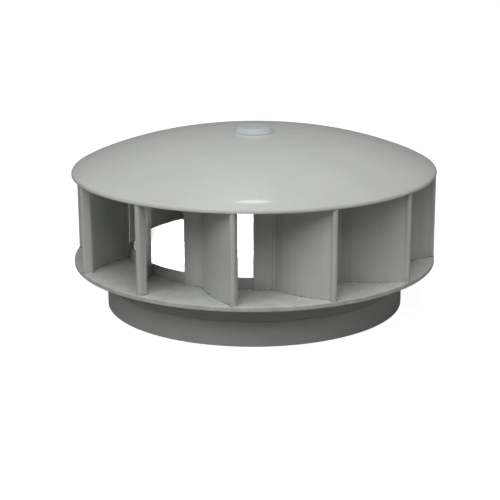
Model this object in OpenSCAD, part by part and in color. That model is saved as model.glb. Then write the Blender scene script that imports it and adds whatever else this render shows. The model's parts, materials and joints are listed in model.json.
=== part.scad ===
// Static ventilation cowl for the end of a round duct.
// Air leaves through a ring of curved vanes between a base plate and a domed cover.
// Origin: centre of the socket's lower rim. +Z is up.

/* [Overall] */
// Outside diameter of the domed cover and of the base plate
cowl_d = 200; // [190:1:240]
// Height of the open band between the base plate and the rim of the cover
vane_h = 47.4; // [30:0.2:70]

/* [Pipe socket] */
// Outside diameter of the pipe that the socket takes
pipe_d = 160; // [125:1:162]
// Clearance all round the pipe
pipe_gap = 0.1; // [0.05:0.05:0.5]
// Wall of the lower sleeve
sleeve_wall = 2.1; // [1.6:0.1:3]
// Height of the lower sleeve
sleeve_h = 13.8; // [8:0.2:60]
// Wall of the neck ring that the sleeve butts against
neck_wall = 3.1; // [2:0.1:5]
// Height of the neck ring
neck_h = 10.8; // [5:0.2:30]

/* [Base plate and throat] */
// Thickness of the base plate
plate_t = 2.4; // [1.6:0.1:5]
// Width of the ledge that stops the pipe
stop_ledge = 12.9; // [6:0.1:20]
// Wall of the throat ring
throat_wall = 2.3; // [1.6:0.1:4]
// Height of the throat ring above the base plate
throat_up = 5.3; // [2:0.1:12]

/* [Vanes] */
// Number of vanes
vane_count = 12; // [8:1:14]
// Width of the flat flange at the foot of a vane
flange_w = 10.5; // [6:0.1:12]
// Part of the flange that lies before its tangent point
flange_lead = 3; // [0:0.1:4]
// Thickness of the flange
flange_t = 1.9; // [1.5:0.1:3]
// Gap between the flange and the throat ring
flange_gap = 0.15; // [0.05:0.05:0.5]
// Thickness of the curved panel
panel_t = 2; // [1.5:0.1:3]
// Radius of the panel's outer face
panel_bow_r = 69; // [50:1:200]
// Radius of the bead where the flange turns into the panel
bead_r = 1.5; // [1.45:0.05:1.9]
// Length of the lip at the outer end
lip_len = 5.9; // [4:0.1:9]
// Thickness of the lip, which has rounded ends
lip_t = 3.2; // [2.2:0.1:4]
// Distance from the rim to the lip's outer end
lip_inset = 0.3; // [0.3:0.1:5]
// Angle round the axis from the flange's tangent point to the lip
lip_angle = 21.6; // [16:0.1:30]
// Tilt of the lip away from the radius
lip_tilt = 13; // [0:1:20]
// Turn of the first vane about the axis
first_vane_turn = 2; // [0:0.1:30]

/* [Domed cover] */
// Wall of the cover
dome_wall = 2.5; // [2:0.1:3.5]
// Rise of the crown above its shoulder
crown_rise = 16.5; // [14:0.5:40]
// Fullness of the crown, where 2 is a parabola
crown_power = 2.42; // [2:0.02:3]
// Distance from the rim in to the shoulder
edge_inset = 5.3; // [4.8:0.1:9]
// Drop from the shoulder to the upright part of the rim
edge_drop = 2.9; // [1.5:0.1:5]
// Height of the upright part of the rim
rim_straight = 1.6; // [1:0.1:6]
// Width of the flat land under the rim
rim_land = 4.7; // [4:0.1:8]

/* [Top plate] */
// Thickness of the plate that closes the cover
top_plate_t = 2; // [1.5:0.1:3]
// Gap between that plate and the rim
top_plate_gap = 0.3; // [0.1:0.05:0.5]

/* [Centre fixing] */
// Thread diameter of the screw
screw_d = 6; // [5:1:8]
// Clearance round the screw in every hole
screw_gap = 0.3; // [0.1:0.05:0.5]
// Length of the screw under its head
screw_len = 25; // [25:1:40]
// Diameter of the screw head
head_d = 11; // [9:0.5:12.4]
// Height of the screw head
head_h = 3.4; // [2.5:0.1:4]
// Diameter of both washers
washer_d = 14; // [12.5:0.5:15]
// Thickness of both washers
washer_t = 1.5; // [1:0.1:2]
// Width across the flats of the nut
nut_af = 10; // [8:0.5:13]
// Height of the nut
nut_h = 5; // [4:0.5:6]
// Outside diameter of the spacer tube
spacer_d = 14; // [11:0.5:20]
// Inside diameter of the well in the crown
well_d = 18; // [17:0.5:24]
// Depth of the well
well_depth = 9; // [8:0.5:10]

/* [Cover cap] */
// Diameter of the cap's flat top
cap_top_d = 17.6; // [15:0.1:20]
// Diameter of the cap's foot
cap_foot_d = 22.6; // [21:0.1:30]
// Height of the cap above the crown
cap_h = 3; // [2.2:0.1:5]
// Clearance between the cap's stem and the well
cap_gap = 0.3; // [0.3:0.05:0.5]
// Wall of the stem
stem_wall = 1.5; // [1:0.1:1.8]
// Depth of the stem in the well
stem_len = 3.2; // [2:0.1:3.6]

/* [Hidden] */
$fn = 144;
grey = "#c5c9c3";
cap_grey = "#d3d9d9";
zinc = "#b3b6b8";
sliver = 0.01;
crown_steps = 24;
cap_edge = 0.4;

// Levels
neck_z = sleeve_h;
plate_z = neck_z + neck_h;
deck_z = plate_z + plate_t;
rim_z = deck_z + vane_h;

// Radii
cowl_r = cowl_d / 2;
bore_r = pipe_d / 2 + pipe_gap;
throat_r = pipe_d / 2 - stop_ledge;
throat_out_r = throat_r + throat_wall;
shoulder_r = cowl_r - edge_inset;
land_r = cowl_r - rim_land;
hole_r = screw_d / 2 + screw_gap;
well_out_r = well_d / 2 + dome_wall;
pad_r = cap_foot_d / 2 + 0.5;

// Crown
edge_z = rim_z + rim_straight;
shoulder_z = edge_z + edge_drop;
apex_z = shoulder_z + crown_rise;
pad_z = crown_z(pad_r);
well_floor_z = pad_z - well_depth;
well_under_z = well_floor_z - dome_wall;

// Centre fixing
top_plate_top_z = rim_z + top_plate_t;
seat_z = top_plate_top_z + top_plate_gap;
head_z = well_floor_z + washer_t;

// Vane, seen in plan with its flange along X
flange_y = -(throat_out_r + flange_gap + flange_t);
flange_x = -flange_lead;
corner = [flange_x + flange_w, flange_y];
lip_dir = -heading(lip_angle - lip_tilt);
lip_nose = (cowl_r - lip_inset) * heading(lip_angle) + lip_t / 2 * lip_dir;
lip_heel = lip_nose + (lip_len - lip_t) * lip_dir;
panel_centre = arc_centre(corner, lip_nose, panel_bow_r);

// Height of the crown's outer surface at a radius
function crown_z(r) = apex_z - crown_rise * pow(r / shoulder_r, crown_power);

// Unit vector at an angle from the front of the cowl, turning anticlockwise
function heading(a) = [sin(a), -cos(a)];

// Centre of the arc of radius r from a to b that lies to the left of that line
function arc_centre(a, b, r) =
    let (chord = b - a, left = [-chord.y, chord.x] / norm(chord))
    (a + b) / 2 + left * sqrt(r * r - pow(norm(chord) / 2, 2));

function bearing(from, to) = atan2(to.y - from.y, to.x - from.x);

function vane_name(i) = str("vane_", i < 10 ? "0" : "", i);

// Tube standing at height z
module tube(outer_r, inner_r, h, z) {
    translate([0, 0, z])
        difference() {
            cylinder(r = outer_r, h = h);
            translate([0, 0, -1])
                cylinder(r = inner_r, h = h + 2);
        }
}

// Turned shell. Its inside keeps clear of the top plate by the plate's gap.
module dome_cover() {
    crown_out = [
        for (i = [0:crown_steps])
            let (r = pad_r + (shoulder_r - pad_r) * i / crown_steps)
            [r, crown_z(r)]
    ];
    edge = [[cowl_r, edge_z], [cowl_r, rim_z], [land_r, rim_z]];
    crown_in = [
        for (i = [0:crown_steps])
            let (r = land_r + (well_out_r - land_r) * i / crown_steps)
            [r, max(min(crown_z(r), pad_z) - dome_wall, seat_z)]
    ];
    well = [
        [well_out_r, well_under_z],
        [hole_r, well_under_z],
        [hole_r, well_floor_z],
        [well_d / 2, well_floor_z],
        [well_d / 2, pad_z]
    ];
    color(grey)
        rotate_extrude()
            polygon(concat(crown_out, edge, crown_in, well));
}

module cap_plug() {
    foot_r = cap_foot_d / 2;
    top_r = cap_top_d / 2;
    stem_r = well_d / 2 - cap_gap;
    outline = [
        [0, cap_h - dome_wall / 2],
        [0, cap_h],
        [top_r, cap_h],
        [foot_r, cap_edge],
        [foot_r, 0],
        [stem_r, 0],
        [stem_r, -stem_len],
        [stem_r - stem_wall, -stem_len],
        [stem_r - stem_wall, cap_h - dome_wall / 2]
    ];
    color(cap_grey)
        translate([0, 0, pad_z])
            rotate_extrude()
                polygon(outline);
}

module centre_screw() {
    socket_af = screw_d * 0.65;
    color(zinc)
        difference() {
            union() {
                translate([0, 0, head_z - screw_len])
                    cylinder(d = screw_d, h = screw_len + sliver);
                translate([0, 0, head_z])
                    cylinder(d = head_d, h = head_h);
            }
            translate([0, 0, head_z + head_h / 2])
                cylinder(d = socket_af / cos(30), h = head_h, $fn = 6);
        }
}

module screw_washer() {
    color(zinc)
        tube(washer_d / 2, hole_r, washer_t, well_floor_z);
}

module spacer_tube() {
    color(grey)
        tube(spacer_d / 2, hole_r, well_under_z - top_plate_top_z, top_plate_top_z);
}

module top_plate() {
    color(grey)
        tube(land_r - top_plate_gap, hole_r, top_plate_t, rim_z);
}

module nut_washer() {
    color(zinc)
        tube(washer_d / 2, hole_r, washer_t, rim_z - washer_t);
}

module lock_nut() {
    nut_z = rim_z - washer_t - nut_h;
    color(zinc)
        translate([0, 0, nut_z])
            difference() {
                cylinder(d = nut_af / cos(30), h = nut_h, $fn = 6);
                translate([0, 0, -1])
                    cylinder(r = screw_d / 2 + 0.05, h = nut_h + 2);
            }
}

module base_plate() {
    color(grey)
        tube(cowl_r, throat_out_r, plate_t, plate_z);
}

module throat_ring() {
    color(grey)
        tube(throat_out_r, throat_r, plate_t + throat_up, plate_z);
}

module neck_ring() {
    color(grey)
        tube(bore_r + neck_wall, bore_r, neck_h, neck_z);
}

module socket_sleeve() {
    color(grey)
        tube(bore_r + sleeve_wall, bore_r, sleeve_h, 0);
}

// Curved strip of the panel, from the flange's corner to the lip
module panel_plan() {
    reach = 2 * panel_bow_r;
    from_a = bearing(panel_centre, corner);
    to_a = bearing(panel_centre, lip_nose);
    intersection() {
        translate(panel_centre)
            difference() {
                circle(r = panel_bow_r, $fn = 256);
                circle(r = panel_bow_r - panel_t, $fn = 256);
            }
        polygon([
            panel_centre,
            panel_centre + reach * [cos(from_a), sin(from_a)],
            panel_centre + reach * [cos(to_a), sin(to_a)]
        ]);
    }
}

module vane_plan() {
    translate([flange_x, flange_y])
        square([flange_w, flange_t]);
    translate(corner + [0, flange_t / 2])
        circle(r = bead_r, $fn = 48);
    panel_plan();
    translate(lip_nose)
        rotate(bearing([0, 0], lip_dir))
            translate([0, -lip_t / 2])
                square([lip_len - lip_t, lip_t]);
    for (end = [lip_nose, lip_heel])
        translate(end)
            circle(r = lip_t / 2, $fn = 48);
}

module vane(i) {
    color(grey)
        rotate(first_vane_turn + (i - 1) * 360 / vane_count)
            translate([0, 0, deck_z])
                linear_extrude(height = vane_h)
                    vane_plan();
}

dome_cover();
cap_plug();
centre_screw();
screw_washer();
spacer_tube();
top_plate();
nut_washer();
lock_nut();
base_plate();
throat_ring();
neck_ring();
socket_sleeve();
for (i = [1:vane_count])
    vane(i);
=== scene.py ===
"""Visible pieces of a static duct cowl in light grey rigid PVC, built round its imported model.

Run as a script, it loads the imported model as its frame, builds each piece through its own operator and
sets the stage."""

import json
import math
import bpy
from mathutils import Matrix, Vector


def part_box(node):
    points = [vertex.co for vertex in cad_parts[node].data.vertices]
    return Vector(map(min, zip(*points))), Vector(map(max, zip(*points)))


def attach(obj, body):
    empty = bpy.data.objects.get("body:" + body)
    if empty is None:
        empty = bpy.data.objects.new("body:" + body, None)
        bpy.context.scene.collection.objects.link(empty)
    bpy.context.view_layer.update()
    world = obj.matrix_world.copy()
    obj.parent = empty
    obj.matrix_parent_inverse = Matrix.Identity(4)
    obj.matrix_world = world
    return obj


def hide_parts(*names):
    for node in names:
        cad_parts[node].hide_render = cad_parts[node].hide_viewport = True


bl_info = {
    "name": "Duct Cowl",
    "version": (1, 0, 0),
    "blender": (4, 5, 0),
    "location": "3D View > Sidebar > Duct Cowl",
    "description": "Builds a static ventilation cowl with curved vanes, and a stage to show it on",
    "category": "Object",
}

import bmesh
import bpy
from bpy.props import FloatProperty, IntProperty, PointerProperty, StringProperty
from mathutils import Matrix, Vector, noise

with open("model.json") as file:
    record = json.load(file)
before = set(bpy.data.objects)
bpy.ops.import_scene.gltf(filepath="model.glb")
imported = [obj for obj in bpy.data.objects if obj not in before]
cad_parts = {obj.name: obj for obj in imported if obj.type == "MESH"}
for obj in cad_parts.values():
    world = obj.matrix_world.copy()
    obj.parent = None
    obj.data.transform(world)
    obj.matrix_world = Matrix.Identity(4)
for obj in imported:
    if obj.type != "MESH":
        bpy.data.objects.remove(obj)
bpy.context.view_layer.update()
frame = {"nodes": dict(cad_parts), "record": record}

MM = 0.001
FULL_TURN = 2 * math.pi


def top_of(node):
    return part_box(node)[1].z


def foot_of(node):
    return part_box(node)[0].z


def radius_of(node):
    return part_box(node)[1].x


def bore_radius():
    """The socket's bore, from the record's mount."""
    mounts = {mount["name"]: mount for mount in frame["record"]["mounts"]}
    return mounts["pipe_socket"]["dims"]["r_mm"] * MM


def vane_nodes():
    return sorted(name for name in frame["nodes"] if name.startswith("vane_"))


# Properties


def length(name, description, default_mm):
    default = default_mm * MM
    return FloatProperty(name=name, description=description, default=default, unit="LENGTH", precision=5)


def angle(name, description, default_degrees):
    default = math.radians(default_degrees)
    return FloatProperty(name=name, description=description, default=default, unit="ROTATION")


def tint(name, description, default_hex):
    """A colour as sRGB hex."""
    return StringProperty(name=name, description=description + ", sRGB hex", default=default_hex)


class CoverSizes(bpy.types.PropertyGroup):
    crown_rise: length("Crown rise", "Rise of the crown above its shoulder", 16.5)
    crown_fullness: FloatProperty(
        name="Crown fullness", description="Power of the crown's curve", default=2.42
    )
    shoulder_inset: length("Shoulder inset", "Distance from the rim in to the shoulder", 5.3)
    edge_drop: length("Edge drop", "Drop from the shoulder to the upright part of the rim", 2.9)
    rim_straight: length("Upright rim", "Height of the upright part of the rim", 1.6)
    rim_land: length("Rim land", "Width of the flat land under the rim", 4.7)
    wall: length("Wall", "Wall of the cover", 2.5)
    plate_gap: length("Plate gap", "Gap between the cover and the top plate", 0.3)
    pad_margin: length("Pad margin", "Width of the flat pad outside the cap's foot", 0.5)
    well_depth: length("Well depth", "Depth of the well under the cap", 9)
    cap_gap: length("Cap gap", "Clearance between the cap's stem and the well", 0.3)
    cap_top_radius: length("Cap top radius", "Radius of the cap's flat top", 8.8)
    cap_height: length("Cap height", "Height of the cap above its foot", 3)
    stem_wall: length("Stem wall", "Wall of the cap's stem", 1.5)


class VaneSizes(bpy.types.PropertyGroup):
    flange_width: length("Flange width", "Width of the flat flange at a vane's foot", 10.5)
    flange_lead: length("Flange lead", "Part of the flange before its tangent point", 3)
    flange_thickness: length("Flange thickness", "Thickness of the flange", 1.9)
    flange_gap: length("Flange gap", "Gap between the flange and the throat ring", 0.15)
    panel_thickness: length("Panel thickness", "Thickness of the curved panel", 2)
    panel_bow: length("Panel bow radius", "Radius of the panel's outer face", 69)
    bead_radius: length("Bead radius", "Radius of the bead at the corner", 1.5)
    lip_length: length("Lip length", "Length of the lip at the outer end", 5.9)
    lip_thickness: length("Lip thickness", "Thickness of the lip, which has round ends", 3.2)
    lip_inset: length("Lip inset", "Distance from the rim to the lip", 0.3)
    lip_angle: angle("Lip angle", "Angle round the axis from the flange to the lip", 21.6)
    lip_tilt: angle("Lip tilt", "Tilt of the lip away from the radius", 13)
    first_turn: angle("First turn", "Turn of the first vane about the axis", 2)


class BaseSizes(bpy.types.PropertyGroup):
    throat_wall: length("Throat wall", "Wall of the throat ring", 2.3)
    edge_round: length("Edge rounding", "Radius on the edges of plates and rings", 0.35)
    joint_round: length("Joint rounding", "Radius on both sides of the joint under the neck", 0.8)
    cement_width: length("Cement width", "Mean width of the cement squeezed out at a vane's foot", 0.4)
    hole_radius: length("Hole radius", "Radius of the holes that clear the screw", 3.3)
    screw_radius: length("Screw radius", "Radius of the screw's thread", 3)
    screw_pitch: length("Thread pitch", "Pitch of the screw's thread", 1)
    nut_flats: length("Nut flats", "Width across the flats of the nut", 10)


class Finish(bpy.types.PropertyGroup):
    pvc: tint("PVC colour", "Light grey rigid PVC", "#c8cac7")
    cap: tint("Cap colour", "Bluer grey of the moulded cap", "#bdc5c7")
    cement: tint("Cement colour", "Set solvent cement", "#54554e")
    # Dust colour, also used to paint shade on and near the deck
    grime: tint("Grime colour", "Dust that settles in corners", "#8d8b80")
    zinc: tint("Zinc colour", "Zinc plated steel", "#b9bcc0")
    floor: tint("Floor colour", "Plain pale floor", "#f4f4f3")


class StageSettings(bpy.types.PropertyGroup):
    distance: length("Camera distance", "Level distance from the cowl's axis to the camera", 748.72)
    height: length("Camera height", "Height of the camera above the floor", 242.59)
    pitch: angle("Camera pitch", "Downward tilt of the camera", 16.003)
    yaw: angle("Camera yaw", "Turn of the camera to its left", 0.183)
    roll: angle("Camera roll", "Roll of the camera", -0.264)
    lens: FloatProperty(name="Lens", description="Focal length on a 36 mm sensor", default=100.04)
    floor_width: length("Floor width", "Width of the floor", 12000)
    turns: IntProperty(name="Turning steps", description="Faces round the largest turned pieces", default=240)


SETTINGS = {
    "cowl_cover": CoverSizes,
    "cowl_vanes": VaneSizes,
    "cowl_base": BaseSizes,
    "cowl_finish": Finish,
    "cowl_stage": StageSettings,
}


# Materials


def linear(hex_colour):
    """Linear RGBA from an sRGB hex colour."""
    channels = [int(hex_colour[i : i + 2], 16) / 255 for i in (1, 3, 5)]
    return [c / 12.92 if c <= 0.04045 else ((c + 0.055) / 1.055) ** 2.4 for c in channels] + [1.0]


def per_mm(size_mm):
    """Noise scale whose features are this many millimetres across."""
    return 1 / (size_mm * MM)


def add_node(tree, kind, settings=None, inputs=None):
    """Adds a node, sets its properties, and fills or links its inputs."""
    node = tree.nodes.new(kind)
    for name, value in (settings or {}).items():
        setattr(node, name, value)
    for socket, value in (inputs or {}).items():
        if isinstance(value, bpy.types.NodeSocket):
            tree.links.new(value, node.inputs[socket])
        else:
            node.inputs[socket].default_value = value
    return node


def new_material(name):
    """An empty node material with its output."""
    material = bpy.data.materials.new(name)
    material.use_nodes = True
    tree = material.node_tree
    tree.nodes.clear()
    return material, tree, add_node(tree, "ShaderNodeOutputMaterial")


def noise_field(tree, coordinates, size_mm, detail=3.0):
    """Noise from 0 to 1 with features of one size."""
    node = add_node(
        tree,
        "ShaderNodeTexNoise",
        inputs={"Vector": coordinates, "Scale": per_mm(size_mm), "Detail": detail, "Roughness": 0.55},
    )
    return node.outputs["Fac"]


def ranged(tree, value, low, high, to_low, to_high):
    """The value's range from low to high, spread from to_low to to_high."""
    node = add_node(
        tree,
        "ShaderNodeMapRange",
        inputs={"Value": value, "From Min": low, "From Max": high, "To Min": to_low, "To Max": to_high},
    )
    return node.outputs["Result"]


def blended(tree, factor, colour_a, colour_b):
    """Colour a turning to colour b with the factor."""
    node = add_node(
        tree, "ShaderNodeMix", {"data_type": "RGBA"}, {"Factor": factor, 6: colour_a, 7: colour_b}
    )
    return node.outputs[2]


def rigid_pvc(name, roughness, streak=0.0, grime_height=None, skin=0.0, tone=1.0):
    """Light grey rigid PVC: an opaque body under a thin satin skin, which gives a broad, soft highlight.

    streak adds the fine upright lines that an extrusion die leaves. At and below the given deck height,
    patches of dust and painted shade darken the surface, fading out over 7 mm above it. skin is the weight of
    the smooth skin that a polished mould gives. A tone factor under 1 darkens the whole piece evenly as
    painted shade."""
    finish = bpy.context.scene.cowl_finish
    material, tree, output = new_material(name)
    place = add_node(tree, "ShaderNodeTexCoord").outputs["Object"]
    clouds = noise_field(tree, place, 38)
    specks = noise_field(tree, place, 2.2, 2.0)
    peel = noise_field(tree, place, 0.9, 2.0)
    # A tone under 1 darkens the colour as painted shade
    body = [tone * c for c in linear(finish.pvc)[:3]] + [1.0]
    shade = [0.93 * c for c in body[:3]] + [1.0]
    colour = blended(tree, ranged(tree, clouds, 0.35, 0.7, 0.0, 1.0), body, shade)
    colour = blended(tree, ranged(tree, specks, 0.66, 0.78, 0.0, 0.22), colour, linear(finish.grime))
    height = peel
    if streak:
        stretch = add_node(
            tree, "ShaderNodeMapping", inputs={"Vector": place, "Scale": (1.0, 1.0, 0.015)}
        ).outputs["Vector"]
        lines = noise_field(tree, stretch, 1.1, 3.0)
        colour = blended(tree, ranged(tree, lines, 0.45, 0.75, 0.0, streak), colour, linear(finish.grime))
        height = add_node(tree, "ShaderNodeMath", {"operation": "ADD"}, {0: peel, 1: lines}).outputs[0]
    # Painted shade and dust: patches darken the surface at and just above the deck, where shade falls round
    # the vanes' feet
    if grime_height is not None:
        level = add_node(tree, "ShaderNodeSeparateXYZ", inputs={0: place}).outputs["Z"]
        low = ranged(tree, level, grime_height, grime_height + 7 * MM, 1.0, 0.0)
        patches = ranged(tree, noise_field(tree, place, 6), 0.35, 0.65, 0.0, 0.3)
        amount = add_node(tree, "ShaderNodeMath", {"operation": "MULTIPLY"}, {0: low, 1: patches}).outputs[0]
        colour = blended(tree, amount, colour, linear(finish.grime))
    bump = add_node(
        tree, "ShaderNodeBump", inputs={"Height": height, "Strength": 0.12, "Distance": 0.05 * MM}
    )
    shader = add_node(
        tree,
        "ShaderNodeBsdfPrincipled",
        inputs={
            "Base Color": colour,
            "Roughness": ranged(tree, clouds, 0.3, 0.7, roughness - 0.05, roughness + 0.05),
            "IOR": 1.53,
            "Coat Weight": skin,
            "Coat Roughness": 0.1,
            "Normal": bump.outputs["Normal"],
        },
    )
    tree.links.new(shader.outputs[0], output.inputs["Surface"])
    return material


def moulded_cap():
    """Injection moulded plastic of the cap: a little bluer and shinier than the sheet, with a fine
    spark texture."""
    finish = bpy.context.scene.cowl_finish
    material, tree, output = new_material("moulded_cap")
    place = add_node(tree, "ShaderNodeTexCoord").outputs["Object"]
    spark = noise_field(tree, place, 0.5, 2.0)
    clouds = noise_field(tree, place, 9)
    body = linear(finish.cap)
    shade = [0.92 * c for c in body[:3]] + [1.0]
    bump = add_node(
        tree, "ShaderNodeBump", inputs={"Height": spark, "Strength": 0.15, "Distance": 0.04 * MM}
    )
    shader = add_node(
        tree,
        "ShaderNodeBsdfPrincipled",
        inputs={
            "Base Color": blended(tree, ranged(tree, clouds, 0.35, 0.7, 0.0, 1.0), body, shade),
            "Roughness": ranged(tree, clouds, 0.3, 0.7, 0.3, 0.38),
            "IOR": 1.5,
            "Normal": bump.outputs["Normal"],
        },
    )
    tree.links.new(shader.outputs[0], output.inputs["Surface"])
    return material


def solvent_cement():
    """Set solvent cement: a thin, uneven, slightly dirty bead that is glossier than the sheet."""
    finish = bpy.context.scene.cowl_finish
    material, tree, output = new_material("solvent_cement")
    place = add_node(tree, "ShaderNodeTexCoord").outputs["Object"]
    patches = noise_field(tree, place, 2.5)
    shader = add_node(
        tree,
        "ShaderNodeBsdfPrincipled",
        inputs={
            "Base Color": blended(
                tree, ranged(tree, patches, 0.4, 0.65, 0.0, 1.0), linear(finish.cement), linear(finish.pvc)
            ),
            "Roughness": ranged(tree, patches, 0.3, 0.7, 0.25, 0.45),
            "IOR": 1.52,
        },
    )
    tree.links.new(shader.outputs[0], output.inputs["Surface"])
    return material


def zinc_plated_steel():
    """Bright zinc plating on steel: a cool metal with cloudy, slightly blue patches."""
    finish = bpy.context.scene.cowl_finish
    material, tree, output = new_material("zinc_plated_steel")
    place = add_node(tree, "ShaderNodeTexCoord").outputs["Object"]
    clouds = noise_field(tree, place, 3)
    body = linear(finish.zinc)
    shade = [0.8 * body[0], 0.84 * body[1], 0.92 * body[2], 1.0]
    shader = add_node(
        tree,
        "ShaderNodeBsdfPrincipled",
        inputs={
            "Base Color": blended(tree, ranged(tree, clouds, 0.3, 0.7, 0.0, 1.0), body, shade),
            "Roughness": ranged(tree, clouds, 0.3, 0.7, 0.25, 0.4),
            "Metallic": 1.0,
        },
    )
    tree.links.new(shader.outputs[0], output.inputs["Surface"])
    return material


def material_named(name, maker, *arguments, **settings):
    """The material of that name, made once."""
    return bpy.data.materials.get(name) or maker(*arguments, **settings)


def sheet_pvc():
    # Its patches at the deck are painted shade and dust
    return material_named("pvc_sheet", rigid_pvc, "pvc_sheet", 0.42, grime_height=top_of("base_plate"))


# Mesh tools


def rounded(corners, steps=5, most=0.45):
    """A closed outline of (point, radius) corners, with each corner of a radius turned into an arc.

    An arc takes up at most that part of the sides beside it."""
    points = []
    count = len(corners)
    for i, (corner, radius) in enumerate(corners):
        before = Vector(corners[i - 1][0]) - Vector(corner)
        after = Vector(corners[(i + 1) % count][0]) - Vector(corner)
        half = before.angle(after) / 2 if radius else 0
        if not radius or math.pi / 2 - half < 0.01:
            points.append(Vector(corner))
            continue
        reach = min(radius / math.tan(half), most * before.length, most * after.length)
        radius = reach * math.tan(half)
        centre = Vector(corner) + (before.normalized() + after.normalized()).normalized() * (
            radius / math.sin(half)
        )
        start = Vector(corner) + before.normalized() * reach - centre
        end = Vector(corner) + after.normalized() * reach - centre
        sweep = start.angle_signed(end)
        points += [centre + Matrix.Rotation(-sweep * k / steps, 2) @ start for k in range(steps + 1)]
    return points


def turned(outline, turns):
    """A bmesh turned about Z from a closed outline of (radius, height) points, or functions of the angle."""
    mesh = bmesh.new()
    rings = []
    for entry in outline:
        if not callable(entry) and entry[0] < 1e-7:
            rings.append([mesh.verts.new((0, 0, entry[1]))])
            continue
        ring = []
        for k in range(turns):
            turn = FULL_TURN * k / turns
            radius, height = entry(turn) if callable(entry) else entry
            ring.append(mesh.verts.new((radius * math.cos(turn), radius * math.sin(turn), height)))
        rings.append(ring)
    for ring, following in zip(rings, rings[1:] + rings[:1]):
        join_rings(mesh, ring, following)
    bmesh.ops.recalc_face_normals(mesh, faces=mesh.faces)
    return mesh


def join_rings(mesh, ring, following):
    """Faces between two rings, either of which may be one point on the axis."""
    if len(ring) == 1 and len(following) == 1:
        return
    for k in range(max(len(ring), len(following))):
        corners = [
            ring[k % len(ring)],
            ring[(k + 1) % len(ring)],
            following[(k + 1) % len(following)],
            following[k % len(following)],
        ]
        mesh.faces.new(list(dict.fromkeys(corners)))


def ring_outline(inner, outer, low, high, radius):
    """Section of a flat ring or a tube with rounded edges."""
    corners = [(inner, low), (outer, low), (outer, high), (inner, high)]
    return rounded([(corner, radius) for corner in corners])


def finish_piece(name, mesh, material, body, stands_for=(), sharp_degrees=32):
    """Turns a bmesh into a smooth shaded piece that rides on its body."""
    data = bpy.data.meshes.new(name)
    mesh.to_mesh(data)
    mesh.free()
    data.materials.append(material)
    data.shade_smooth()
    data.set_sharp_from_angle(angle=math.radians(sharp_degrees))
    piece = bpy.data.objects.new(name, data)
    bpy.context.scene.collection.objects.link(piece)
    weighted = piece.modifiers.new("even_shading", "WEIGHTED_NORMAL")
    weighted.keep_sharp = True
    weighted.weight = 100
    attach(piece, body)
    if stands_for:
        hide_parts(*stands_for)
    return piece


# Cover


def crown_height(radius):
    """Height of the cover's outer surface at a radius."""
    sizes = bpy.context.scene.cowl_cover
    shoulder = radius_of("dome_cover") - sizes.shoulder_inset
    return apex_height() - sizes.crown_rise * (radius / shoulder) ** sizes.crown_fullness


def edge_height():
    """Height of the top of the rim's upright part."""
    return foot_of("dome_cover") + bpy.context.scene.cowl_cover.rim_straight


def apex_height():
    sizes = bpy.context.scene.cowl_cover
    return edge_height() + sizes.edge_drop + sizes.crown_rise


def pad_height():
    return foot_of("cap_plug") + stem_length()


def stem_length():
    return top_of("cap_plug") - bpy.context.scene.cowl_cover.cap_height - foot_of("cap_plug")


class COWL_OT_cover(bpy.types.Operator):
    """Turns the domed cover, with its rounded rim and the well for the centre screw"""

    bl_idname = "cowl.cover"
    bl_label = "Domed Cover"

    def execute(self, context):
        sizes = context.scene.cowl_cover
        base = context.scene.cowl_base
        outer = radius_of("dome_cover")
        rim_foot = foot_of("top_plate")
        pad_radius = radius_of("cap_plug") + sizes.pad_margin
        well_radius = stem_radius() + sizes.cap_gap
        well_outer = well_radius + sizes.wall
        land_radius = outer - sizes.rim_land
        shoulder = outer - sizes.shoulder_inset
        seat = top_of("top_plate") + sizes.plate_gap
        pad = pad_height()
        floor = pad - sizes.well_depth
        outline = [((outer, rim_foot), 0.3 * MM), ((outer, edge_height()), 1.9 * MM)]
        outline.append(((shoulder, crown_height(shoulder)), 38 * MM))
        steps = 72
        first_step = 4  # leaves room for the shoulder's arc
        for k in range(first_step, steps + 1):
            r = shoulder + (pad_radius - shoulder) * k / steps
            outline.append(((r, crown_height(r)), 0))
        outline += [
            ((well_radius, pad), 0.4 * MM),
            ((well_radius, floor), 0.4 * MM),
            ((base.hole_radius, floor), 0.15 * MM),
            ((base.hole_radius, floor - sizes.wall), 0.15 * MM),
            ((well_outer, floor - sizes.wall), 0.5 * MM),
        ]
        inner_steps = 24
        for k in range(inner_steps + 1):
            r = well_outer + (land_radius - well_outer) * k / inner_steps
            outline.append(((r, max(min(crown_height(r), pad) - sizes.wall, seat)), 0))
        outline.append(((land_radius, rim_foot), 0.2 * MM))
        mesh = turned(rounded(outline, 7, 0.7), context.scene.cowl_stage.turns)
        material = material_named("pvc_moulded", rigid_pvc, "pvc_moulded", 0.42, skin=0.35)
        finish_piece("domed_cover", mesh, material, "cowl", ["dome_cover"])
        return {"FINISHED"}


def stem_radius():
    """Outer radius of the cap's stem: the widest part of the cap below its foot."""
    cap = frame["nodes"]["cap_plug"].data
    low = foot_of("cap_plug") + 0.1 * MM
    return max(math.hypot(v.co.x, v.co.y) for v in cap.vertices if v.co.z < low)


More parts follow.
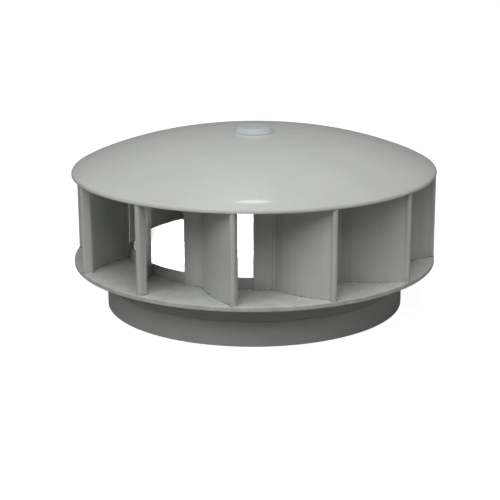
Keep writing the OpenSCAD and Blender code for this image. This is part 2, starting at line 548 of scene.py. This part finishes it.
class COWL_OT_cap(bpy.types.Operator):
    """Turns the push-in cap that covers the centre screw"""

    bl_idname = "cowl.cap"
    bl_label = "Cover Cap"

    def execute(self, context):
        sizes = context.scene.cowl_cover
        foot = pad_height()
        foot_radius = radius_of("cap_plug")
        top = top_of("cap_plug")
        stem = stem_radius()
        ceiling = top - sizes.wall / 2
        outline = [
            ((0, top), 0),
            ((sizes.cap_top_radius, top), 2.2 * MM),
            ((foot_radius, foot + 0.4 * MM), 0.3 * MM),
            ((foot_radius, foot), 0.15 * MM),
            ((stem, foot), 0.2 * MM),
            ((stem, foot_of("cap_plug")), 0.3 * MM),
            ((stem - sizes.stem_wall, foot_of("cap_plug")), 0.3 * MM),
            ((stem - sizes.stem_wall, ceiling), 0.4 * MM),
            ((0, ceiling), 0),
        ]
        mesh = turned(rounded(outline), 96)
        material = material_named("moulded_cap", moulded_cap)
        finish_piece("cover_cap", mesh, material, "cap", ["cap_plug"])
        return {"FINISHED"}


# Vanes


def heading(turn):
    """Unit vector at an angle from the front of the cowl, turning anticlockwise."""
    return Vector((math.sin(turn), -math.cos(turn)))


def arc_points(centre, radius, start, end, count):
    """Points along the short arc between two points at about that radius."""
    first = math.atan2(start.y - centre.y, start.x - centre.x)
    last = math.atan2(end.y - centre.y, end.x - centre.x)
    sweep = (last - first + math.pi) % FULL_TURN - math.pi
    return [
        centre + radius * Vector((math.cos(first + sweep * k / count), math.sin(first + sweep * k / count)))
        for k in range(count + 1)
    ]


def circles_meet(centre_a, radius_a, centre_b, radius_b, near):
    """The crossing of two circles that is nearer to a point."""
    between = centre_b - centre_a
    gap = between.length
    along = (radius_a**2 - radius_b**2 + gap**2) / (2 * gap)
    across = math.sqrt(radius_a**2 - along**2)
    direction = between / gap
    foot = centre_a + direction * along
    side = Vector((-direction.y, direction.x)) * across
    return min((foot + side, foot - side), key=lambda point: (point - near).length)


def line_meets_circle(point, direction, centre, radius, near):
    """The crossing of a line and a circle that is nearer to a point."""
    offset = point - centre
    b = offset.dot(direction)
    root = math.sqrt(b * b - offset.length_squared + radius * radius)
    return min((point + direction * (-b + s * root) for s in (-1, 1)), key=lambda p: (p - near).length)


def vane_outline():
    """Plan of a vane with its flange along X: flange, bead, curved panel and lip, anticlockwise."""
    sizes = bpy.context.scene.cowl_vanes
    flange_y = -(radius_of("throat_ring") + sizes.flange_gap + sizes.flange_thickness)
    left = -sizes.flange_lead
    corner = Vector((left + sizes.flange_width, flange_y))
    inward = -heading(sizes.lip_angle - sizes.lip_tilt)
    end_radius = sizes.lip_thickness / 2
    nose = (radius_of("base_plate") - sizes.lip_inset) * heading(sizes.lip_angle) + end_radius * inward
    heel = nose + (sizes.lip_length - sizes.lip_thickness) * inward
    chord = nose - corner
    aside = Vector((-chord.y, chord.x)).normalized()
    bow = sizes.panel_bow
    centre = (corner + nose) / 2 + aside * math.sqrt(bow**2 - (chord.length / 2) ** 2)
    bead = corner + Vector((0, sizes.flange_thickness / 2))
    inner_bow = bow - sizes.panel_thickness
    inner_y = flange_y + sizes.flange_thickness
    bead_reach = math.sqrt(sizes.bead_radius**2 - (sizes.flange_thickness / 2) ** 2)
    bead_start = Vector((bead.x - bead_reach, flange_y))
    bead_end = Vector((bead.x - bead_reach, inner_y))
    out_from = circles_meet(bead, sizes.bead_radius, centre, bow, corner + chord * 0.02)
    in_from = circles_meet(bead, sizes.bead_radius, centre, inner_bow, corner + chord * 0.04)
    half = Vector((-inward.y, inward.x)) * end_radius
    ahead = inward * end_radius
    out_to = line_meets_circle(nose + half, inward, centre, bow, nose)
    in_to = circles_meet(heel, end_radius, centre, inner_bow, heel + half)
    sharp = 0.3 * MM
    soft = 0.45 * MM
    outline = [(Vector((left, flange_y)), sharp)]
    for die_line in (2.3 * MM, 5.6 * MM):
        outline += groove(left + die_line, flange_y)
    outline += [(bead_start, 0.2 * MM)]
    outline += [(p, 0) for p in arc_points(bead, sizes.bead_radius, bead_start, out_from, 6)[1:-1]]
    outline += [(out_from, 0.25 * MM)]
    outline += [(p, 0) for p in arc_points(centre, bow, out_from, out_to, 22)[1:-1]]
    outline += [(out_to, soft)]
    outline += [(p, 0) for p in arc_points(nose, end_radius, nose + half, nose - ahead, 6)]
    outline += [(p, 0) for p in arc_points(nose, end_radius, nose - ahead, nose - half, 6)[1:]]
    outline += [(p, 0) for p in arc_points(heel, end_radius, heel - half, heel + ahead, 6)]
    outline += [(p, 0) for p in arc_points(heel, end_radius, heel + ahead, in_to, 6)[1:-1]]
    outline += [(in_to, soft)]
    outline += [(p, 0) for p in arc_points(centre, inner_bow, in_to, in_from, 22)[1:-1]]
    outline += [(in_from, 0.25 * MM)]
    outline += [(p, 0) for p in arc_points(bead, sizes.bead_radius, in_from, bead_end, 6)[1:-1]]
    outline += [(bead_end, 0.2 * MM), (Vector((left, inner_y)), sharp)]
    return rounded(outline, 4)


def groove(x, y):
    """A shallow die line across the outer face of the flange."""
    half_width = 0.3 * MM
    depth = 0.12 * MM
    return [
        (Vector((x - half_width, y)), 0),
        (Vector((x, y + depth)), 0),
        (Vector((x + half_width, y)), 0),
    ]


def inset(outline, distance):
    """The outline moved inwards by a small distance."""
    moved = []
    for i, point in enumerate(outline):
        along = (outline[(i + 1) % len(outline)] - outline[i - 1]).normalized()
        moved.append(point + Vector((-along.y, along.x)) * distance)
    return moved


def vane_turn(index):
    """Turn about the axis of the vane with this index, from 0."""
    return bpy.context.scene.cowl_vanes.first_turn + FULL_TURN * index / len(vane_nodes())


class COWL_OT_vanes(bpy.types.Operator):
    """Extrudes each vane from its plan, with its ends eased"""

    bl_idname = "cowl.vanes"
    bl_label = "Vanes"

    def execute(self, context):
        outline = vane_outline()
        easing = 0.2 * MM
        eased = inset(outline, easing)
        # Their patches near the deck are painted shade and dust
        material = material_named(
            "pvc_extruded", rigid_pvc, "pvc_extruded", 0.4, streak=0.14, grime_height=top_of("base_plate")
        )
        for index, node in enumerate(vane_nodes()):
            low = foot_of(node)
            high = top_of(node)
            rows = 8
            levels = [(low, eased)]
            levels += [
                (low + easing + (high - low - 2 * easing) * k / rows, outline) for k in range(rows + 1)
            ]
            levels.append((high, eased))
            turn = Matrix.Rotation(vane_turn(index), 2)
            mesh = bmesh.new()
            rings = [[mesh.verts.new((*(turn @ p), level)) for p in plan] for level, plan in levels]
            for ring, following in zip(rings, rings[1:]):
                join_rings(mesh, ring, following)
            mesh.faces.new(rings[0])
            mesh.faces.new(rings[-1])
            bmesh.ops.recalc_face_normals(mesh, faces=mesh.faces)
            finish_piece(f"swirl_{node}", mesh, material, "cowl", [node])
        return {"FINISHED"}


class COWL_OT_cement(bpy.types.Operator):
    """Lays the uneven bead of cement round the foot of each vane"""

    bl_idname = "cowl.cement"
    bl_label = "Cement Beads"

    def execute(self, context):
        width = context.scene.cowl_base.cement_width
        lump = 1.6 * MM
        tuck = -0.25 * MM
        outline = vane_outline()
        deck = top_of("base_plate")
        mesh = bmesh.new()
        for index in range(len(vane_nodes())):
            turn = Matrix.Rotation(vane_turn(index), 2)
            rings = []
            for i, point in enumerate(outline):
                along = (outline[(i + 1) % len(outline)] - outline[i - 1]).normalized()
                outward = turn @ Vector((along.y, -along.x))
                place = turn @ point
                sample = Vector((*place, index)) / lump
                reach = width * (0.55 + 0.9 * abs(noise.noise(sample)) + 0.35 * noise.noise(sample * 0.3))
                rise = reach * 0.8
                slope = [(reach, 0), (reach * 0.55, reach * 0.35), (0.02 * MM, rise)]
                section = [(tuck, 0), *slope, (tuck, rise)]
                rings.append([mesh.verts.new((*(place + outward * u), deck + v)) for u, v in section])
            for ring, following in zip(rings, rings[1:] + rings[:1]):
                join_rings(mesh, ring, following)
        bmesh.ops.recalc_face_normals(mesh, faces=mesh.faces)
        material = material_named("solvent_cement", solvent_cement)
        finish_piece("vane_cement", mesh, material, "cowl", sharp_degrees=60)
        return {"FINISHED"}


# Base, socket and top plate


class COWL_OT_base(bpy.types.Operator):
    """Turns the base plate and the throat ring inside the vanes"""

    bl_idname = "cowl.base"
    bl_label = "Base Plate and Throat"

    def execute(self, context):
        sizes = context.scene.cowl_base
        turns = context.scene.cowl_stage.turns
        throat = radius_of("throat_ring")
        for name, node, inner, outer in (
            ("base_ring", "base_plate", throat, radius_of("base_plate")),
            ("throat_upstand", "throat_ring", throat - sizes.throat_wall, throat),
        ):
            outline = ring_outline(inner, outer, foot_of(node), top_of(node), sizes.edge_round)
            finish_piece(name, turned(outline, turns), sheet_pvc(), "cowl", [node])
        bpy.data.collections[BORE_WALLS].objects.link(bpy.data.objects["throat_upstand"])
        return {"FINISHED"}


class COWL_OT_socket(bpy.types.Operator):
    """Turns the neck ring and the sleeve that goes over the duct"""

    bl_idname = "cowl.socket"
    bl_label = "Neck and Socket"

    def execute(self, context):
        sizes = context.scene.cowl_base
        bore = bore_radius()
        edge = sizes.edge_round
        joint = sizes.joint_round
        # The neck band's tone of 0.8 is painted shade: the top plate's overhang shades it
        for name, node, tone, foot_round, top_round in (
            ("neck_band", "neck_ring", 0.8, joint, edge),
            ("duct_sleeve", "socket_sleeve", 1.0, edge, joint),
        ):
            outer = radius_of(node)
            low = foot_of(node)
            high = top_of(node)
            corners = [((bore, low), edge), ((outer, low), foot_round), ((outer, high), top_round)]
            mesh = turned(rounded([*corners, ((bore, high), edge)]), context.scene.cowl_stage.turns)
            material = material_named(f"pvc_{name}", rigid_pvc, f"pvc_{name}", 0.4, tone=tone)
            piece = finish_piece(name, mesh, material, "cowl", [node])
            bpy.data.collections[BORE_WALLS].objects.link(piece)
        return {"FINISHED"}


class COWL_OT_top_plate(bpy.types.Operator):
    """Turns the plate that closes the cover underneath"""

    bl_idname = "cowl.top_plate"
    bl_label = "Top Plate"

    def execute(self, context):
        sizes = context.scene.cowl_base
        node = "top_plate"
        outline = ring_outline(sizes.hole_radius, radius_of(node), foot_of(node), top_of(node), 0.2 * MM)
        mesh = turned(outline, context.scene.cowl_stage.turns)
        finish_piece("vane_ceiling", mesh, sheet_pvc(), "cowl", [node])
        return {"FINISHED"}


# Centre fixing


def hexagon(flats, limit, height, chamfer=0.0):
    """Ring of a hexagon whose corners are turned off at a radius, and drop by the chamfer outside it."""

    def at(turn):
        across = (turn + math.pi / 6) % (math.pi / 3) - math.pi / 6
        radius = flats / 2 / math.cos(across)
        return min(radius, limit), height - chamfer * max(0.0, radius - limit * 0.92)

    return at


def threaded(radius, depth, pitch, height):
    """Ring of a helical thread: the radius falls and rises once in each pitch."""

    def at(turn):
        phase = (height / pitch - turn / FULL_TURN) % 1
        return radius - depth * (1 - abs(2 * phase - 1)), height

    return at


class COWL_OT_fixing(bpy.types.Operator):
    """Builds the centre screw, its washers, the spacer tube and the nut"""

    bl_idname = "cowl.fixing"
    bl_label = "Centre Fixing"

    def execute(self, context):
        sizes = context.scene.cowl_base
        steel = material_named("zinc_plated_steel", zinc_plated_steel)
        self.screw(sizes, steel)
        for name, node in (("upper_washer", "screw_washer"), ("lower_washer", "nut_washer")):
            outline = ring_outline(sizes.hole_radius, radius_of(node), foot_of(node), top_of(node), 0.2 * MM)
            finish_piece(name, turned(outline, 72), steel, "cowl", [node])
        node = "spacer_tube"
        outline = ring_outline(sizes.hole_radius, radius_of(node), foot_of(node), top_of(node), 0.3 * MM)
        finish_piece("dome_spacer", turned(outline, 72), sheet_pvc(), "cowl", [node])
        self.nut(sizes, steel)
        return {"FINISHED"}

    def screw(self, sizes, steel):
        node = "centre_screw"
        top = top_of(node)
        foot = foot_of(node)
        head_radius = radius_of(node)
        seat = top_of("screw_washer")
        recess = top - (top - seat) / 2
        key = 3.9 * MM
        outline = [(0, recess), hexagon(key, key, recess), hexagon(key, key, top)]
        outline += [(head_radius - 1.2 * MM, top), (head_radius - 0.3 * MM, top - 0.4 * MM)]
        outline += [(head_radius, top - 1.2 * MM), (head_radius, seat + 0.2 * MM)]
        outline += [(head_radius - 0.2 * MM, seat)]
        outline += [(sizes.screw_radius, seat)]
        thread_top = seat - 4 * MM
        rows_per_turn = 8
        pitch = sizes.screw_pitch
        thread_depth = 0.55 * pitch
        rows = int((thread_top - foot - 0.5 * MM) / pitch * rows_per_turn)
        for k in range(rows + 1):
            height = thread_top - pitch * k / rows_per_turn
            outline.append(threaded(sizes.screw_radius, thread_depth, pitch, height))
        outline += [(sizes.screw_radius - 0.7 * MM, foot), (0, foot)]
        finish_piece("cap_screw", turned(outline, 48), steel, "cowl", [node], sharp_degrees=40)

    def nut(self, sizes, steel):
        node = "lock_nut"
        low = foot_of(node)
        high = top_of(node)
        flats = sizes.nut_flats
        corner = flats / 2 / math.cos(math.pi / 6)
        bore = sizes.screw_radius + 0.05 * MM
        chamfer = 0.6
        outline = [
            (bore, high),
            (flats / 2 * 0.96, high),
            hexagon(flats, corner, high, chamfer),
            hexagon(flats, corner, low, -chamfer),
            (flats / 2 * 0.96, low),
            (bore + 0.4 * MM, low),
            (bore, low + 0.4 * MM),
        ]
        finish_piece("hex_nut", turned(outline, 72), steel, "cowl", [node], sharp_degrees=25)


# Stage

KEY_LIGHTS = (
    # name, azimuth and elevation in degrees, distance and width in metres, power in watts, and
    # whether it shows in reflections
    ("overhead_softbox", 0, 72, 1.6, 1.0, 12.6, False),
    ("front_softbox", 0, 45, 1.8, 1.0, 6.8, False),
    ("left_softbox", -45, 38, 1.8, 1.0, 8.0, False),
    ("right_fill", 45, 38, 1.8, 1.0, 2.5, False),
    ("rear_softbox", 180, 50, 1.6, 1.0, 1.6, False),
    ("rear_left_fill", -135, 24, 2.0, 1.2, 2.6, False),
    ("rear_right_fill", 135, 24, 2.0, 1.2, 2.6, False),
    ("shoulder_spot", 180, 66, 1.6, 0.2, 1.2, True),
)
BORE_WALLS = "bore_walls"


def stage_floor(settings):
    """A plain pale floor. The camera sees it glow white under a faint contact shadow, and other rays see it
    dim and matt, so it sends little light back up."""
    material, tree, output = new_material("pale_floor")
    colour = linear(bpy.context.scene.cowl_finish.floor)
    seen = add_node(tree, "ShaderNodeLightPath").outputs["Is Camera Ray"]
    matt = add_node(tree, "ShaderNodeBsdfDiffuse", inputs={"Color": [0.3 * c for c in colour[:3]] + [1.0]})
    glow = add_node(tree, "ShaderNodeEmission", inputs={"Color": (1, 1, 1, 1), "Strength": 0.94})
    lit = add_node(tree, "ShaderNodeAddShader", inputs={0: matt.outputs[0], 1: glow.outputs[0]})
    shown = add_node(tree, "ShaderNodeMixShader", inputs={0: seen, 1: matt.outputs[0], 2: lit.outputs[0]})
    tree.links.new(shown.outputs[0], output.inputs["Surface"])
    half = settings.floor_width / 2
    data = bpy.data.meshes.new("floor")
    corners = [(-half, -half, 0), (half, -half, 0), (half, half, 0), (-half, half, 0)]
    data.from_pydata(corners, [], [(0, 1, 2, 3)])
    data.materials.append(material)
    floor = bpy.data.objects.new("floor", data)
    bpy.context.scene.collection.objects.link(floor)


def stage_camera(settings):
    """The camera, on the cowl's front side and looking slightly down."""
    level = Vector((-math.sin(settings.yaw), math.cos(settings.yaw), 0))
    side = Vector((math.cos(settings.yaw), math.sin(settings.yaw), 0))
    up = Vector((0, 0, 1))
    forward = math.cos(settings.pitch) * level - math.sin(settings.pitch) * up
    above = math.sin(settings.pitch) * level + math.cos(settings.pitch) * up
    right = math.cos(settings.roll) * side + math.sin(settings.roll) * above
    above = -math.sin(settings.roll) * side + math.cos(settings.roll) * above
    data = bpy.data.cameras.new("camera")
    data.lens = settings.lens
    data.sensor_width = 36
    data.clip_start = 0.01
    camera = bpy.data.objects.new("camera", data)
    place = Matrix((right, above, -forward)).transposed().to_4x4()
    place.translation = (0, -settings.distance, settings.height)
    camera.matrix_world = place
    bpy.context.scene.collection.objects.link(camera)
    bpy.context.scene.camera = camera


def stage_light(name, azimuth, elevation, distance, width, power, reflected):
    """A round soft light that faces the middle of the cowl."""
    data = bpy.data.lights.new(name, "AREA")
    data.shape = "DISK"
    data.size = width
    data.energy = power
    light = bpy.data.objects.new(name, data)
    level = heading(math.radians(azimuth)) * math.cos(math.radians(elevation))
    outward = Vector((level.x, level.y, math.sin(math.radians(elevation))))
    target = Vector((0, 0, 0.06))
    light.location = target + outward * distance
    light.rotation_euler = outward.to_track_quat("Z", "Y").to_euler()
    light.visible_glossy = reflected
    bpy.context.scene.collection.objects.link(light)


def bore_light():
    """A small lamp inside the socket. It faces the far wall of the bore and lights only the pieces round the
    bore, so that wall reads as bright between the vanes."""
    set_back = 10 * MM
    middle = Vector((0, 0, foot_of("base_plate") / 2))
    data = bpy.data.lights.new("bore_lamp", "AREA")
    data.shape = "RECTANGLE"
    data.size = 40 * MM
    data.size_y = 14 * MM
    data.energy = 0.1
    data.spread = math.radians(80)
    light = bpy.data.objects.new("bore_lamp", data)
    away = Vector((-0.37, 0.93, 0)).normalized()
    light.location = middle - set_back * away
    light.rotation_euler = (-away).to_track_quat("Z", "Y").to_euler()
    light.visible_camera = False
    light.light_linking.receiver_collection = bpy.data.collections.new(BORE_WALLS)
    bpy.context.scene.collection.objects.link(light)


def stage_world():
    """White where the camera sees it, and a dim even sky as a light."""
    world = bpy.data.worlds.new("studio")
    world.use_nodes = True
    tree = world.node_tree
    tree.nodes.clear()
    output = add_node(tree, "ShaderNodeOutputWorld")
    seen = add_node(tree, "ShaderNodeLightPath").outputs["Is Camera Ray"]
    white = add_node(tree, "ShaderNodeBackground", inputs={"Color": (1, 1, 1, 1), "Strength": 1.0})
    sky = add_node(tree, "ShaderNodeBackground", inputs={"Color": (1, 1, 1, 1), "Strength": 0.03})
    shown = add_node(tree, "ShaderNodeMixShader", inputs={0: seen, 1: sky.outputs[0], 2: white.outputs[0]})
    tree.links.new(shown.outputs[0], output.inputs["Surface"])
    bpy.context.scene.world = world


class COWL_OT_stage(bpy.types.Operator):
    """Sets the camera, the pale floor, the soft lights and the background"""

    bl_idname = "cowl.stage"
    bl_label = "Stage"

    def execute(self, context):
        settings = context.scene.cowl_stage
        context.scene.view_settings.view_transform = "Standard"
        stage_camera(settings)
        stage_floor(settings)
        stage_world()
        for light in KEY_LIGHTS:
            stage_light(*light)
        bore_light()
        return {"FINISHED"}


# Panel and registration

OPERATORS = (
    COWL_OT_stage,
    COWL_OT_cover,
    COWL_OT_cap,
    COWL_OT_vanes,
    COWL_OT_cement,
    COWL_OT_base,
    COWL_OT_socket,
    COWL_OT_top_plate,
    COWL_OT_fixing,
)


class COWL_PT_panel(bpy.types.Panel):
    """Lists the sizes and the builders of the cowl's pieces"""

    bl_idname = "COWL_PT_panel"
    bl_label = "Duct Cowl"
    bl_space_type = "VIEW_3D"
    bl_region_type = "UI"
    bl_category = "Duct Cowl"

    def draw(self, context):
        for operator in OPERATORS:
            self.layout.operator(operator.bl_idname)
        for name, group in SETTINGS.items():
            box = self.layout.box()
            for prop in group.__annotations__:
                box.prop(getattr(context.scene, name), prop)


CLASSES = (*SETTINGS.values(), *OPERATORS, COWL_PT_panel)


def register():
    for cls in CLASSES:
        bpy.utils.register_class(cls)
    for name, group in SETTINGS.items():
        setattr(bpy.types.Scene, name, PointerProperty(type=group))


def unregister():
    for name in SETTINGS:
        delattr(bpy.types.Scene, name)
    for cls in reversed(CLASSES):
        bpy.utils.unregister_class(cls)


def main():
    register()
    for operator in OPERATORS:
        group, name = operator.bl_idname.split(".")
        getattr(getattr(bpy.ops, group), name)()


if __name__ == "__main__":
    main()
